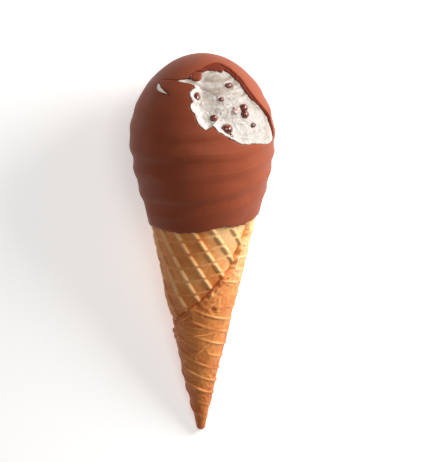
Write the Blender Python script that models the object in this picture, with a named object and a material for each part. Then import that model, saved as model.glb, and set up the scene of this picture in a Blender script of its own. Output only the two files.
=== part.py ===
"""An ice cream cone lying on its side: a rolled waffle cone, vanilla ice cream
that fills it and stands over it as a ball, and a chocolate coating bitten open.

Each piece is shaped upright first, in the cone's own coordinates: height runs
up the axis from the sharp point that the cone would have, and turn is the angle
round the axis, 0 facing -Y and a quarter turn facing +X. An empty then lays the
three pieces down, with the side at turn 0 up, so that the coating and the
cone's tip rest on the plane z = 0.
"""

import math

import bmesh
import bpy
import numpy as np
from mathutils import Euler, Vector

# Waffle cone: a sheet rolled a little over one turn.
CONE_HALF_ANGLE = math.radians(12.5)
MOUTH_HEIGHT = 0.112
TIP_HEIGHT = 0.0072
TIP_ROUND = 0.0022
SHEET = 0.0015
WALL = 0.0016
CAVITY_HEIGHT = 0.022
SHEET_FULL_HEIGHT = 0.034

# The sheet's outer edge crosses the cone once, as a gentle S of the turn over height.
SEAM_MIDDLE_HEIGHT = 0.0625
SEAM_REACH = 0.021
SEAM_FACING = math.radians(-38)
SEAM_SWEEP = math.radians(110)
SEAM_STEP = 0.0006
SEAM_BEND = (0.0435, 0.0815)

# Waffle grid: two families of straight ridges on the flat sheet, each as the
# direction of its ridges, their spacing, and the distance of one of them from
# the apex. The sheet's inner end passes the front a full turn after the outer
# end, and the second family's direction drifts from one end to the other.
RIDGE_A = (math.radians(148.2), 0.00775, -0.0283)
RIDGE_B_OUTER = (math.radians(115), 0.0057, -0.0476)
RIDGE_B_INNER = (math.radians(75.5), 0.00635, -0.0846)
RIDGE_B_COUNT_SHIFT = -7
GRID_DRIFT = (math.radians(110), math.radians(270))

# Pockets between the ridges: the share of a cell on each side that is ridge,
# the slope of the pocket's walls, and how far its cutter stands out.
POCKET_DEPTH = 0.0007
POCKET_FULL_HEIGHT = 0.068
POCKET_HEIGHTS = (0.030, 0.1075)
POCKET_SEAM_MARGIN = 0.0024
RIDGE_SHARE = 0.13
POCKET_DRAFT = 0.03
POCKET_CUTTER_RISE = 0.004
SEED_HEIGHTS = 70
SEED_TURNS = 120

# Ball of ice cream with its coating, on the cone.
BALL_HEIGHT = 0.1372
BALL_RADIUS = 0.0313
DOME_RISE = 0.0367
DOME_POWER = 1.9
NECK_DROP = 0.0353
NECK_DRAW = 0.0081
NECK_POWER = 1.55
COATING = 0.0019
GAP = 0.0003
ICE_FOOT_HEIGHT = 0.0245

# Coating: the spiral fold that the poured ice cream leaves, and the dipped edge.
FOLD_PITCH = 0.0092
FOLD_START = 0.1165
FOLD_DEPTH = 0.0006
FOLD_SHARE = 0.2
FOLD_LEAN = 0.0011
DIP_HEIGHT = 0.1019
DIP_TILT = 0.0024
DIP_WAVE = 0.0005
DIP_WAVES = 5
LIP = 0.0005

# Bite: its middle as a turn and a rise over the ball's widest level, its mean
# reach, and the waves of its outline as (count, size, direction).
BITE_TURN = math.radians(30.7)
BITE_RISE = math.radians(39.2)
BITE_REACH = math.radians(31.8)
BITE_WAVES = ((1, 2.7, -22), (2, 8.1, -43), (3, 5.7, -36), (4, 1.7, -23), (5, 1.7, -28), (6, 1.5, 27))
BITE_TEETH = ((17, 0.9, 4), (26, 0.6, 9))
BITE_DEPTH = 0.0015
BITE_SLOPE = math.radians(4)
CRACK_DIRECTION = math.radians(133)
CRACK_REACH = math.radians(12)
CRACK_SPREAD = math.radians(3)
BITE_CUTTER = (0.012, 0.060)
BITE_CUTTER_SIDES = 80

# Rest: the coating is flattened this much where it lies on the table.
REST_FLAT = 0.0008

# How finely the round shapes are divided. The columns are multiples of four,
# because then the first column of Blender's sphere lies on +X.
CONE_COLUMNS = 24
TIP_ROWS = 3
TAIL_ROWS = 4
BEND_ROWS = 10
HEAD_ROWS = 3
CAVITY_ROWS = 2
BALL_COLUMNS = 36
DOME_ROWS = 8
NECK_ROWS = 4
FOLDED_DOME_ROWS = 13
FOLDED_NECK_ROWS = 13
FOOT_ROWS = 6
MOST_CLOSING = 0.02

SLOPE = math.tan(CONE_HALF_ANGLE)
FULL_TURN = 2 * math.pi


def smooth(low, high, value):
    """0 below low, 1 above high, and a smooth step between them."""
    share = np.clip((value - low) / (high - low), 0, 1)
    return share * share * (3 - 2 * share)


def point(radius, turn, height):
    """A place from its distance to the axis, its turn and its height."""
    return np.array((radius * math.sin(turn), -radius * math.cos(turn), height))


# Waffle cone


def seam_turn(height):
    """The turn at which the sheet's outer edge crosses this height."""
    return SEAM_FACING + SEAM_SWEEP * np.tanh((height - SEAM_MIDDLE_HEIGHT) / SEAM_REACH)


def cone_radius(height, share):
    """Outside of the rolled sheet: share runs from 0 at its outer edge to 1 after a full turn."""
    step = SHEET * smooth(TIP_HEIGHT, SHEET_FULL_HEIGHT, height)
    return height * SLOPE + step * (0.5 - share)


def cavity_radius(height):
    """Inside of the cone, a plain round wall."""
    return height * SLOPE - SHEET / 2 - WALL


def seam_share(height, turn):
    """How far round from the seam a place is, from 0 to 1."""
    return ((turn - seam_turn(height)) / FULL_TURN) % 1


def ridge_count(direction, spacing, offset, height, turn):
    """Counts a family of ridges across the sheet rolled flat: whole numbers lie on its ridges."""
    slant = height / math.cos(CONE_HALF_ANGLE)
    angle = turn * math.sin(CONE_HALF_ANGLE)
    across = slant * (math.sin(angle) * math.cos(direction) - math.cos(angle) * math.sin(direction))
    return (across - offset) / spacing


def grid_count(height, turn):
    """The place in the waffle grid, where turn starts at the front and runs on past the seam."""
    second_pass = turn - FULL_TURN
    first = ridge_count(*RIDGE_A, height, second_pass)
    outer = ridge_count(*RIDGE_B_OUTER, height, turn)
    inner = ridge_count(*RIDGE_B_INNER, height, second_pass) + RIDGE_B_COUNT_SHIFT
    return first, outer + (inner - outer) * smooth(*GRID_DRIFT, turn)


def grid_place(first, second, height, turn):
    """Newton's method: the height and turn with these counts, from a nearby place."""
    small = 1e-5
    for _ in range(12):
        f, g = grid_count(height, turn)
        fh, gh = (np.array(grid_count(height + small, turn)) - (f, g)) / small
        ft, gt = (np.array(grid_count(height, turn + small)) - (f, g)) / small
        scale = fh * gt - ft * gh
        height += ((first - f) * gt - (second - g) * ft) / scale
        turn += ((second - g) * fh - (first - f) * gh) / scale
    return height, turn


def pocket_cells():
    """Each cell of the grid with a place in it: {(first, second): (height, turn)}."""
    cells = {}
    for height in np.linspace(*POCKET_HEIGHTS, SEED_HEIGHTS):
        for share in np.linspace(0, 1, SEED_TURNS):
            turn = seam_turn(height) + share * FULL_TURN
            first, second = grid_count(height, turn)
            cells.setdefault((math.floor(first), math.floor(second)), (height, turn))
    return cells


def pocket_corner(cell, seed, sides):
    """One corner of a pocket's cutter: sides are -1 or 1 along the two counts and in depth."""
    reach = 0.5 - RIDGE_SHARE - (POCKET_DRAFT if sides[2] < 0 else 0)
    first = cell[0] + 0.5 + sides[0] * reach
    second = cell[1] + 0.5 + sides[1] * reach
    return grid_place(first, second, *seed)


def is_clear(places):
    """Whether a pocket lies whole on the cone, away from the seam and the ends."""
    for height, turn in places:
        if not POCKET_HEIGHTS[0] < height < POCKET_HEIGHTS[1]:
            return False
        margin = POCKET_SEAM_MARGIN / (FULL_TURN * height * SLOPE)
        if not margin < (turn - seam_turn(height)) / FULL_TURN < 1 - margin:
            return False
    return True


def pocket_cutters():
    """One small box for each pocket of the waffle, bent onto the cone."""
    mesh = bmesh.new()
    for cell, seed in pocket_cells().items():
        corners = [(a, b, c) for a in (-1, 1) for b in (-1, 1) for c in (-1, 1)]
        places = {corner: pocket_corner(cell, seed, corner) for corner in corners}
        if not is_clear(places.values()):
            continue
        box = bmesh.ops.create_cube(mesh, size=2)["verts"]
        for vertex in box:
            corner = tuple(round(value) for value in vertex.co)
            height, turn = places[corner]
            surface = cone_radius(height, seam_share(height, turn))
            depth = POCKET_DEPTH * min(1, height / POCKET_FULL_HEIGHT)
            vertex.co = point(surface + (POCKET_CUTTER_RISE if corner[2] > 0 else -depth), turn, height)
    bmesh.ops.recalc_face_normals(mesh, faces=mesh.faces)
    return mesh


def cone_stations():
    """(height, side) up the outside, where side is 1, and down the inside, where it is 0."""
    stations = [(TIP_HEIGHT, None)]
    for k in range(1, TIP_ROWS):
        angle = math.pi / 2 * k / TIP_ROWS
        stations.append((TIP_HEIGHT + TIP_ROUND * (1 - math.cos(angle)), math.sin(angle)))
    ends = [TIP_HEIGHT + TIP_ROUND, *SEAM_BEND, MOUTH_HEIGHT]
    for low, high, rows in zip(ends, ends[1:], (TAIL_ROWS, BEND_ROWS, HEAD_ROWS)):
        stations += [(low + (high - low) * k / rows, 1) for k in range(rows)]
    stations.append((MOUTH_HEIGHT, 1))
    inner = np.linspace(MOUTH_HEIGHT, CAVITY_HEIGHT, CAVITY_ROWS + 1)
    return stations + [(height, 0) for height in inner] + [(CAVITY_HEIGHT, None)]


def cone_point(column, row):
    height, side = cone_stations()[row]
    if side is None:
        return point(0, 0, height)
    if side == 0:
        turn = seam_turn(MOUTH_HEIGHT) + column / CONE_COLUMNS * FULL_TURN
        return point(cavity_radius(height), turn, height)
    closing = min(MOST_CLOSING, SEAM_STEP / (FULL_TURN * height * SLOPE))
    share = column / (CONE_COLUMNS - 1) * (1 - closing)
    turn = seam_turn(height) + share * FULL_TURN
    if side < 1:
        return point(side * cone_radius(TIP_HEIGHT + TIP_ROUND, share), turn, height)
    return point(cone_radius(height, share), turn, height)


# Ball and coating


def ball_radius(height, inset=0):
    """The ball's plain round shape, or one that lies inset within it."""
    widest = BALL_RADIUS - inset
    rise = np.clip((height - BALL_HEIGHT) / (DOME_RISE - inset), 0, 1)
    dome = widest * (1 - rise**DOME_POWER) ** (1 / DOME_POWER)
    drop = np.clip((BALL_HEIGHT - height) / NECK_DROP, 0, None)
    return dome - NECK_DRAW * drop**NECK_POWER


def fold_depth(height, turn):
    """Depth of the spiral fold: a rounded groove once in each pitch, rising with the turn."""
    level = (height - FOLD_START - FOLD_LEAN * math.sin(turn)) / FOLD_PITCH - turn / FULL_TURN
    away = abs(level - round(level)) / FOLD_SHARE
    fade = smooth(0, DOME_RISE / 2, BALL_HEIGHT + DOME_RISE - height)
    return FOLD_DEPTH * fade * math.exp(-away * away)


def dip_height(turn):
    """Height of the coating's lower edge, a little wavy."""
    return DIP_HEIGHT + DIP_TILT * math.sin(turn) + DIP_WAVE * math.sin(DIP_WAVES * turn)


def over_cone(height, turn):
    """Just clear of the cone, and of its seam's step within a column either way."""
    reach = 1.5 * FULL_TURN / BALL_COLUMNS
    shares = [seam_share(height, turn + k * reach / 3) for k in range(-3, 4)]
    return max(cone_radius(height, share) for share in shares) + GAP


def coating_radius(height, turn):
    radius = ball_radius(height) - fold_depth(height, turn)
    if height > MOUTH_HEIGHT + COATING:
        return radius
    return max(radius, over_cone(height, turn) + LIP)


def coating_stations():
    """(kind, share) from the inner pole down the inside, round the dipped edge and up the outside."""
    stations = [("inner dome", k / DOME_ROWS) for k in range(DOME_ROWS + 1)]
    stations += [("inner neck", k / NECK_ROWS) for k in range(1, NECK_ROWS + 1)]
    stations += [("sleeve", 0), ("sleeve", 1), ("edge", 0.5)]
    stations += [("outer neck", k / FOLDED_NECK_ROWS) for k in range(FOLDED_NECK_ROWS + 1)]
    stations += [("outer dome", k / FOLDED_DOME_ROWS) for k in range(1, FOLDED_DOME_ROWS + 1)]
    return stations


def coating_point(column, row):
    kind, share = coating_stations()[row]
    turn = column / BALL_COLUMNS * FULL_TURN
    dip = dip_height(turn)
    shelf = MOUTH_HEIGHT + GAP
    if kind == "inner dome":
        height = BALL_HEIGHT + (DOME_RISE - COATING) * math.cos(share * math.pi / 2)
        return point(ball_radius(height, COATING), turn, height)
    if kind == "inner neck":
        height = BALL_HEIGHT + (shelf - BALL_HEIGHT) * share
        return point(ball_radius(height, COATING), turn, height)
    if kind == "sleeve":
        height = shelf + (dip + LIP / 3 - shelf) * share
        return point(over_cone(height, turn), turn, height)
    if kind == "edge":
        return point(over_cone(dip, turn) + LIP / 2, turn, dip)
    if kind == "outer neck":
        height = dip + LIP / 3 + (BALL_HEIGHT - dip - LIP / 3) * share
        return point(coating_radius(height, turn), turn, height)
    height = BALL_HEIGHT + DOME_RISE * math.sin(share * math.pi / 2)
    return point(coating_radius(height, turn), turn, height)


# Bite


def bite_axes():
    """Unit vectors to the right, up and outwards at the bite's middle."""
    out = Vector(point(math.cos(BITE_RISE), BITE_TURN, math.sin(BITE_RISE)))
    right = Vector((math.cos(BITE_TURN), math.sin(BITE_TURN), 0))
    return right, out.cross(right), out


def bite_reach(direction, waves=BITE_WAVES):
    """Angle from the bite's middle to its edge, in a direction round it."""
    reach = BITE_REACH
    for count, size, facing in waves:
        reach += math.radians(size) * math.cos(count * (direction - math.radians(facing)))
    return reach


def crack_reach(direction):
    """How much further the coating is split along its crack."""
    away = abs((direction - CRACK_DIRECTION + math.pi) % FULL_TURN - math.pi)
    return CRACK_REACH * max(0, 1 - away / CRACK_SPREAD)


def bite_cutter():
    """A cone from the ball's middle out through the bite's ragged outline."""
    mesh = bmesh.new()
    bmesh.ops.create_cone(mesh, cap_ends=True, segments=BITE_CUTTER_SIDES, radius1=1, radius2=2, depth=2)
    right, up, out = bite_axes()
    for vertex in mesh.verts:
        direction = math.atan2(vertex.co.y, vertex.co.x)
        reach = bite_reach(direction, BITE_WAVES + BITE_TEETH) + crack_reach(direction)
        sideways = right * math.cos(direction) + up * math.sin(direction)
        ray = out * math.cos(reach) + sideways * math.sin(reach)
        vertex.co = Vector((0, 0, BALL_HEIGHT)) + ray * BITE_CUTTER[vertex.co.z > 0]
    bmesh.ops.recalc_face_normals(mesh, faces=mesh.faces)
    return mesh


def bitten(place):
    """A place on the ball of ice cream, pushed inwards where the bite bares it."""
    centre = Vector((0, 0, BALL_HEIGHT))
    ray = Vector(place) - centre
    right, up, out = bite_axes()
    direction = math.atan2(ray.dot(up), ray.dot(right))
    inside = bite_reach(direction) - ray.angle(out)
    return centre + ray * (1 - BITE_DEPTH * float(smooth(0, BITE_SLOPE, inside)) / ray.length)


# Ice cream


def ice_stations():
    """(height, side): side 0 is inside the cone, 1 on the ball and None a pole."""
    foot = np.linspace(ICE_FOOT_HEIGHT, MOUTH_HEIGHT + GAP, FOOT_ROWS + 1)
    neck = np.linspace(MOUTH_HEIGHT + GAP, BALL_HEIGHT, NECK_ROWS + 1)
    angles = [k / DOME_ROWS * math.pi / 2 for k in range(1, DOME_ROWS + 1)]
    dome = [BALL_HEIGHT + (DOME_RISE - COATING - GAP) * math.sin(angle) for angle in angles]
    return [(ICE_FOOT_HEIGHT, None)] + [(h, 0) for h in foot] + [(h, 1) for h in neck] + [(h, 1) for h in dome]


def ice_point(column, row):
    height, side = ice_stations()[row]
    turn = column / BALL_COLUMNS * FULL_TURN
    if side is None:
        return point(0, 0, height)
    if side == 0:
        return point(cavity_radius(height) - GAP, turn, height)
    return bitten(point(ball_radius(height, COATING + GAP), turn, height))


# Objects


def new_object(name, mesh, collection):
    """An object from a mesh whose bent faces are split first, so that a Boolean keeps them as they are."""
    bmesh.ops.triangulate(mesh, faces=mesh.faces)
    data = bpy.data.meshes.new(name)
    mesh.to_mesh(data)
    mesh.free()
    thing = bpy.data.objects.new(name, data)
    collection.objects.link(thing)
    return thing


def shaped_sphere(name, columns, rows, place, collection):
    """A UV sphere whose point in each column and row, counted from its lower pole, moves to place(column, row)."""
    mesh = bmesh.new()
    bmesh.ops.create_uvsphere(mesh, u_segments=columns, v_segments=rows, radius=1)
    for vertex in mesh.verts:
        column = round(math.atan2(vertex.co.y, vertex.co.x) / FULL_TURN * columns) % columns
        row = round((math.asin(max(-1, min(1, vertex.co.z))) / math.pi + 0.5) * rows)
        vertex.co = place(column, row)
    return new_object(name, mesh, collection)


def cutter(name, mesh, collection):
    thing = new_object(name, mesh, collection)
    thing.hide_render = True
    thing.display_type = "WIRE"
    return thing


def cut(thing, tool):
    modifier = thing.modifiers.new(tool.name, "BOOLEAN")
    modifier.operation = "DIFFERENCE"
    modifier.solver = "EXACT"
    modifier.object = tool


def finish(thing, colour, roughness, subsurface=0):
    """Gives a piece its own material and smooth shading on its round stretches."""
    material = bpy.data.materials.new(thing.name)
    material.use_nodes = True
    shader = material.node_tree.nodes["Principled BSDF"]
    shader.inputs["Base Color"].default_value = (*colour, 1)
    shader.inputs["Roughness"].default_value = roughness
    shader.inputs["Metallic"].default_value = 0
    shader.inputs["Subsurface Weight"].default_value = subsurface
    thing.data.materials.append(material)
    thing.data.shade_smooth()
    thing.data.set_sharp_from_angle(angle=math.radians(35))


def points_of(thing):
    """The points of a piece's own mesh, before its modifiers."""
    places = np.empty(len(thing.data.vertices) * 3)
    thing.data.vertices.foreach_get("co", places)
    return places.reshape(-1, 3)


def laid(places, lean):
    """Places turned as the empty turns them, with the axis leaning up by lean towards the ball."""
    turned = np.array(Euler((lean - math.pi / 2, 0, 0)).to_matrix())
    return places @ turned.T


def rest_lean(cone, coating):
    """The lean at which the tip touches the table and the coating would sink REST_FLAT into it."""
    low, high = math.radians(5), math.radians(25)
    for _ in range(40):
        lean = (low + high) / 2
        sunk = laid(points_of(cone), lean)[:, 2].min() - laid(points_of(coating), lean)[:, 2].min()
        if sunk > REST_FLAT:
            low = lean
        else:
            high = lean
    return lean


def table_cutter():
    """A slab under the table's top, wide enough for the whole object."""
    size = 4 * DOME_RISE
    mesh = bmesh.new()
    bmesh.ops.create_cube(mesh, size=size)
    bmesh.ops.translate(mesh, verts=mesh.verts, vec=(0, 0, -size / 2))
    return mesh


def build():
    for thing in list(bpy.data.objects):
        bpy.data.objects.remove(thing)
    parts = bpy.data.collections.new("ice_cream_cone")
    cutters = bpy.data.collections.new("cutters")
    for collection in (parts, cutters):
        bpy.context.scene.collection.children.link(collection)

    rows = len(cone_stations()) - 1
    cone = shaped_sphere("waffle_cone", CONE_COLUMNS, rows, cone_point, parts)
    rows = len(ice_stations()) - 1
    ice = shaped_sphere("ice_cream", BALL_COLUMNS, rows, ice_point, parts)
    rows = len(coating_stations()) - 1
    coating = shaped_sphere("chocolate_coating", BALL_COLUMNS, rows, coating_point, parts)
    finish(cone, (0.55, 0.27, 0.09), 0.65)
    finish(ice, (0.86, 0.80, 0.70), 0.55, subsurface=0.3)
    finish(coating, (0.20, 0.055, 0.025), 0.35)

    pockets = cutter("pocket_cutter", pocket_cutters(), cutters)
    bite = cutter("bite_cutter", bite_cutter(), cutters)
    table = cutter("table_cutter", table_cutter(), cutters)

    lean = rest_lean(cone, coating)
    lying = np.concatenate([laid(points_of(piece), lean) for piece in (cone, coating)])
    middle = (lying.min(axis=0) + lying.max(axis=0)) / 2
    pose = bpy.data.objects.new("pose", None)
    parts.objects.link(pose)
    pose.rotation_euler = (lean - math.pi / 2, 0, 0)
    pose.location = (-middle[0], -middle[1], -laid(points_of(cone), lean)[:, 2].min())
    for thing in (cone, ice, coating, pockets, bite):
        thing.parent = pose
    table.location = (0, pose.location.y + BALL_HEIGHT, 0)

    cut(cone, pockets)
    cut(coating, bite)
    cut(coating, table)


build()
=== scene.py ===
"""The looks of an ice cream cone that lies on its side, bitten side up.

Every piece is shaped upright in millimetres, as the solids are: height runs up
the cone's axis from the sharp point it would have, and turn is the angle round
the axis, 0 facing the viewer and a quarter turn facing right. laid() then turns
the points into the frame, where they are in metres.

The ball is worked on in a flat chart: a place on it is a complex number, whose
direction is the turn and whose size is tan(half the angle from the top). The
bite and all that is in it are given in polar coordinates round the bite's
middle in this chart, and called direction and reach.
"""

import itertools
import math

import bpy
import numpy as np
from bpy.props import FloatProperty, FloatVectorProperty, PointerProperty
from mathutils import Matrix, Vector


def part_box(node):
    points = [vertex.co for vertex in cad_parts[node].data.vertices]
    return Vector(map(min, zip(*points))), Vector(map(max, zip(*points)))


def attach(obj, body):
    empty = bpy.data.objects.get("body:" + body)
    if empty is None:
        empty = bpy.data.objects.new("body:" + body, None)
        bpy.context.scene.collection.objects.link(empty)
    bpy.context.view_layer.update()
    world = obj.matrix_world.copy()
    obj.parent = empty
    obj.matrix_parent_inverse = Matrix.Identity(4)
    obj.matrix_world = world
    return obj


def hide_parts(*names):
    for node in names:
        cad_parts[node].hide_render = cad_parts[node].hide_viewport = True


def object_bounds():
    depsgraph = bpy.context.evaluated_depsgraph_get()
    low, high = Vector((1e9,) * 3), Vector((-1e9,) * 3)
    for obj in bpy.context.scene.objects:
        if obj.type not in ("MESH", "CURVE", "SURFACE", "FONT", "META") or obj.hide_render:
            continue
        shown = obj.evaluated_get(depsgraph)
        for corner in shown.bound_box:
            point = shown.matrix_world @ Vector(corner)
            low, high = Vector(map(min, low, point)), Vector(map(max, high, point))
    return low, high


bl_info = {
    "name": "Ice Cream Cone",
    "version": (1, 0, 0),
    "blender": (4, 5, 0),
    "location": "View3D > Sidebar > Ice Cream",
    "description": "Makes a bitten, chocolate-coated ice cream cone and a stage to show it on",
    "category": "Add Mesh",
}

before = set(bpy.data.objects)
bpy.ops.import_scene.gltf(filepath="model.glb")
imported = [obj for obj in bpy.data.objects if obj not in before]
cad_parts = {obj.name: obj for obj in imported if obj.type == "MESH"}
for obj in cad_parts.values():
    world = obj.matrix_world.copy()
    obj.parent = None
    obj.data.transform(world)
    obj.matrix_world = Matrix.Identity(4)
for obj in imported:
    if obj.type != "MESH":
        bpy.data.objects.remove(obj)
CAD_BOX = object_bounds()

MM = 0.001
FULL_TURN = 2 * math.pi

# Pose: the cone's axis leans up by this much towards the ball, and its sharp point lies here (mm).
LEAN = math.radians(13.0686)
AXIS_FOOT = np.array((0.065, -88.45, -0.113))

# The wafer has to start within this of its solid (mm), or the pose above is no longer the solids' own.
MOST_OFF = 1.0

# Waffle cone (mm), as in the solids.
CONE_HALF_ANGLE = math.radians(12.5)
SLOPE = math.tan(CONE_HALF_ANGLE)
MOUTH_HEIGHT = 112.0
TIP_HEIGHT = 7.2
TIP_ROUND = 2.2
SHEET = 1.5
WALL = 1.6
CAVITY_HEIGHT = 22.0
SHEET_FULL_HEIGHT = 34.0
SEAM_MIDDLE_HEIGHT = 62.5
SEAM_REACH = 21.0
SEAM_FACING = math.radians(-38)
SEAM_SWEEP = math.radians(110)

# Ridges on the flat sheet: direction, spacing, and the distance of one of them from the apex.
RIDGE_A = (math.radians(148.2), 7.75, -28.3)
RIDGE_B_OUTER = (math.radians(115), 5.7, -47.6)
RIDGE_B_INNER = (math.radians(75.5), 6.35, -84.6)
RIDGE_B_COUNT_SHIFT = -7
GRID_DRIFT = (math.radians(110), math.radians(270))

# A flake that broke off near the seam: radius, turn and height.
FLAKE = (14.6, math.radians(20), 65.0)

# Ball and coating (mm), as in the solids.
BALL_HEIGHT = 137.2
BALL_RADIUS = 31.3
DOME_RISE = 36.7
DOME_POWER = 1.9
NECK_DROP = 35.3
NECK_DRAW = 8.1
NECK_POWER = 1.55
COATING = 1.9
FOLD_PITCH = 9.2
FOLD_START = 115.0
FOLD_LEAN = 1.1

# Folds from the lowest up: how strong each is at these turns (degrees).
FOLD_TURNS = (-130, -75, -35, 0, 35, 70, 130)
FOLD_STRENGTHS = (
    (0.5, 0.3, 0.3, 0.3, 0.3, 0.4, 0.5),
    (0.8, 0.9, 1.1, 1.1, 0.9, 0.8, 0.8),
    (0.8, 0.8, 0.25, 0.2, 0.5, 0.8, 0.8),
    (0.9, 1.3, 1.4, 0.6, 0.7, 0.9, 0.9),
    (0.8, 0.5, 0.3, 0.8, 0.4, 0.5, 0.8),
    (0.7, 0.6, 0.5, 0.4, 0.4, 0.5, 0.7),
    (0.4, 0.4, 0.3, 0.3, 0.3, 0.3, 0.4),
)
DIP_HEIGHT = 101.9
DIP_TILT = 2.4
DIP_WAVE = 0.5
DIP_WAVES = 5
LIP = 0.5
ICE_FOOT_HEIGHT = 24.5
GAP = 0.3

# The ice cream stays this far under the inside of the coating (mm).
ICE_UNDER = 0.15

# One unit of reach in the chart, in mm: over the ball as a whole, and by the crack, which is nearer the top.
CHART_UNIT = 50
CRACK_UNIT = 55

# The chart's rim: the angle from the top at which it reaches the dipped edge.
RIM_ANGLE = math.pi / 2 + (BALL_HEIGHT - DIP_HEIGHT) / BALL_RADIUS

# Bite: its middle in the chart, and its broken edge as (direction in degrees, reach).
BITE_MIDDLE = 0.2424 - 0.4083j
BITE_EDGE = (
    (-175.4, 0.312), (-173.4, 0.334), (-168.3, 0.346), (-162.7, 0.340), (-158.6, 0.328), (-152.7, 0.336),
    (-139.4, 0.350), (-132.3, 0.346), (-126.5, 0.342), (-124.7, 0.308), (-122.5, 0.270), (-116.5, 0.266),
    (-109.8, 0.281), (-104.4, 0.290), (-95.6, 0.289), (-83.8, 0.307), (-66.4, 0.347), (-58.5, 0.380),
    (-52.7, 0.400), (-46.6, 0.406), (-41.0, 0.429), (-36.4, 0.424), (-26.6, 0.460), (-15.2, 0.523),
    (-5.5, 0.593), (1.4, 0.637), (8.7, 0.671), (16.5, 0.695), (22.2, 0.682), (25.7, 0.644),
    (30.8, 0.528), (33.5, 0.453), (36.5, 0.378), (41.1, 0.321), (47.0, 0.270), (55.8, 0.249),
    (66.2, 0.244), (77.1, 0.251), (93.1, 0.276), (104.4, 0.318), (113.2, 0.350), (119.2, 0.351),
    (131.7, 0.342), (137.6, 0.341), (143.0, 0.362), (148.4, 0.372), (152.3, 0.368), (153.8, 0.393),
    (155.1, 0.426), (156.7, 0.452), (158.0, 0.422), (158.6, 0.380), (159.2, 0.325), (161.5, 0.313),
    (164.1, 0.313), (168.4, 0.326), (171.8, 0.339), (175.1, 0.335), (179.3, 0.324),
)

# Crack: it runs on from the bite's corner as (reach, direction), and ends at the crescent,
# a gap whose line is (direction, reach), behind which the broken flap stands up a little.
CRACK = ((0.44, 156.7), (0.50, 155.8), (0.543, 154.9), (0.59, 153.7))
CRESCENT = ((154.0, 0.600), (156.4, 0.603), (160.4, 0.592), (163.6, 0.566), (167.0, 0.530), (169.6, 0.503))

# Pearls in the ice cream: direction, reach, width, height (mm) and how far the middle is sunk (mm).
PEARLS = (
    (173.4, 0.292, 3.1, 5.0, -0.2),
    (105.8, 0.187, 3.8, 2.4, 0.0),
    (159.4, 0.101, 2.5, 1.6, 0.0),
    (-133.3, 0.195, 3.1, 2.9, 0.0),
    (24.8, 0.136, 3.3, 3.6, -0.2),
    (3.2, 0.160, 3.9, 3.4, 0.1),
    (-3.0, 0.308, 3.0, 1.9, 0.0),
    (-84.8, 0.222, 4.8, 4.1, -0.1),
    (-73.3, 0.291, 2.1, 2.1, 0.0),
)
PELLET = ((6.1, 0.066, 3.3, 3.3, 0.2), (-25.0, 0.060, 2.4, 2.2, 0.3))
TAB = (146.5, 0.337, 4.4, 5.4)


def smooth(low, high, value):
    """0 at low, 1 at high, and a smooth step between them."""
    share = np.clip((value - low) / (high - low), 0, 1)
    return share * share * (3 - 2 * share)


def noise(places, size, seed=0):
    """Smooth noise from -1 to 1: a random number on each corner of a lattice of
    cells of this size, blended across the cell by smooth steps."""
    scaled = np.asarray(places) / size
    cell = np.floor(scaled)
    part = scaled - cell
    part = part * part * (3 - 2 * part)
    cell = cell.astype(np.int64)
    total = 0
    for corner in itertools.product((0, 1), repeat=3):
        key = (cell + corner) @ np.array((73856093, 19349663, 83492791)) + seed * 2654435761
        key = (key ^ (key >> 13)) * 1274126177 & 0xFFFFFFFF
        key = (key ^ (key >> 16)) * 2246822519 & 0xFFFFFFFF
        value = ((key ^ (key >> 15)) & 0xFFFF) / 32767.5 - 1
        total = total + value * np.prod(np.where(corner, part, 1 - part), axis=-1)
    return total


def upright(radius, turn, height):
    """Points from their distance to the axis, their turn and their height, in mm."""
    return np.stack([radius * np.sin(turn), -radius * np.cos(turn), height + 0 * turn], axis=-1)


def laid(points):
    """Upright points in mm turned about the X axis into the frame, in metres, none below the floor."""
    x, y, z = np.moveaxis(points, -1, 0)
    across = y * math.sin(LEAN) + z * math.cos(LEAN)
    above = z * math.sin(LEAN) - y * math.cos(LEAN)
    lying = (np.stack([x, across, above], axis=-1) + AXIS_FOOT) * MM
    lying[..., 2] = np.maximum(lying[..., 2], 0)
    return lying


# Meshes


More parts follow.
